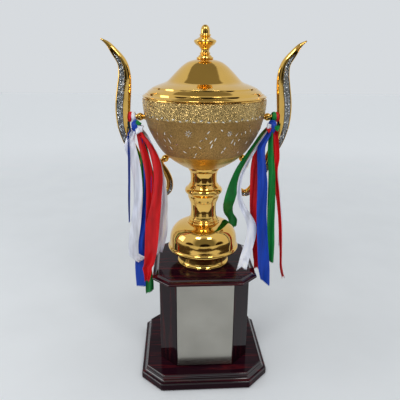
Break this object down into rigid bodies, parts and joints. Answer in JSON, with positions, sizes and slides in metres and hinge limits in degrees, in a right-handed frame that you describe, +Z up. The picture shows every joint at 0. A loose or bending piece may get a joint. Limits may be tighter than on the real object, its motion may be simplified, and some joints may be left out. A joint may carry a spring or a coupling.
{
  "type": "cup trophy",
  "caption": "Covered cup trophy with a lift-off lid, tall horn handles dressed with ribbons, a turned stem and an eight-sided plinth with a blank nameplate.",
  "frame": {"origin": "centre of the plinth's underside, on the surface its feet stand on", "axes": "+Z up along the tie rod, -Y towards the front with the nameplate, the handles along X"},
  "size_m": [0.3262, 0.2246, 0.6],
  "materials": {
    "mirror_gold": "mirror-polished gilt",
    "granular_gold": "granular gilt with bright-cut marks",
    "glitter": "silver-blue glitter under clear varnish",
    "steel": "zinc plated",
    "nameplate_metal": "satin",
    "lacquer": "dark rosewood high-gloss lacquer",
    "rubber": "matte",
    "ribbon_red": "satin",
    "ribbon_blue": "satin",
    "ribbon_green": "satin",
    "ribbon_white": "satin"
  },
  "bodies": {
    "trophy": {"upper_stem": "mirror_gold", "knop": "mirror_gold", "lower_stem": "mirror_gold", "foot_collar": "mirror_gold", "foot_dome": "mirror_gold", "foot_drum": "mirror_gold", "bowl": "granular_gold", "handle_left": "mirror_gold", "handle_post_left": "mirror_gold", "handle_boss_left": "mirror_gold", "handle_right": "mirror_gold", "handle_post_right": "mirror_gold", "handle_boss_right": "mirror_gold", "handle_inlay_left": "glitter", "handle_inlay_right": "glitter", "handle_upper_screw_left": "steel", "handle_lower_screw_left": "steel", "handle_upper_screw_right": "steel", "handle_lower_screw_right": "steel", "tie_rod": "steel", "rod_upper_washer": "steel", "rod_lower_washer": "steel", "rod_upper_nut": "steel", "rod_lower_nut": "steel", "nameplate": "nameplate_metal", "plinth_base": "lacquer", "plinth_top_board": "lacquer", "column_front_panel": "lacquer", "column_right_panel": "lacquer", "column_back_panel": "lacquer", "column_left_panel": "lacquer", "column_front_left_post": "lacquer", "column_front_right_post": "lacquer", "column_back_left_post": "lacquer", "column_back_right_post": "lacquer", "foot_front_left": "rubber", "foot_front_right": "rubber", "foot_back_left": "rubber", "foot_back_right": "rubber", "ribbon_knot_left": "ribbon_blue", "ribbon_knot_right": "ribbon_blue", "ribbon_red_front_left": "ribbon_red", "ribbon_white_front_left": "ribbon_white", "ribbon_blue_front_left": "ribbon_blue", "ribbon_red_back_left": "ribbon_red", "ribbon_blue_back_left": "ribbon_blue", "ribbon_green_front_left": "ribbon_green", "ribbon_white_back_left": "ribbon_white", "ribbon_green_back_left": "ribbon_green", "ribbon_blue_front_right": "ribbon_blue", "ribbon_white_front_right": "ribbon_white", "ribbon_green_front_right": "ribbon_green", "ribbon_red_front_right": "ribbon_red", "ribbon_red_back_right": "ribbon_red", "ribbon_green_back_right": "ribbon_green", "ribbon_white_back_right": "ribbon_white"},
    "lid": {"lid": "mirror_gold", "finial": "mirror_gold", "finial_washer": "steel", "finial_screw": "steel"}
  },
  "joints": [
    {"name": "lid_lift", "type": "slide", "parent": "trophy", "child": "lid", "axis": [0, 0, 1], "range_m": [0, 0.12]}
  ]
}
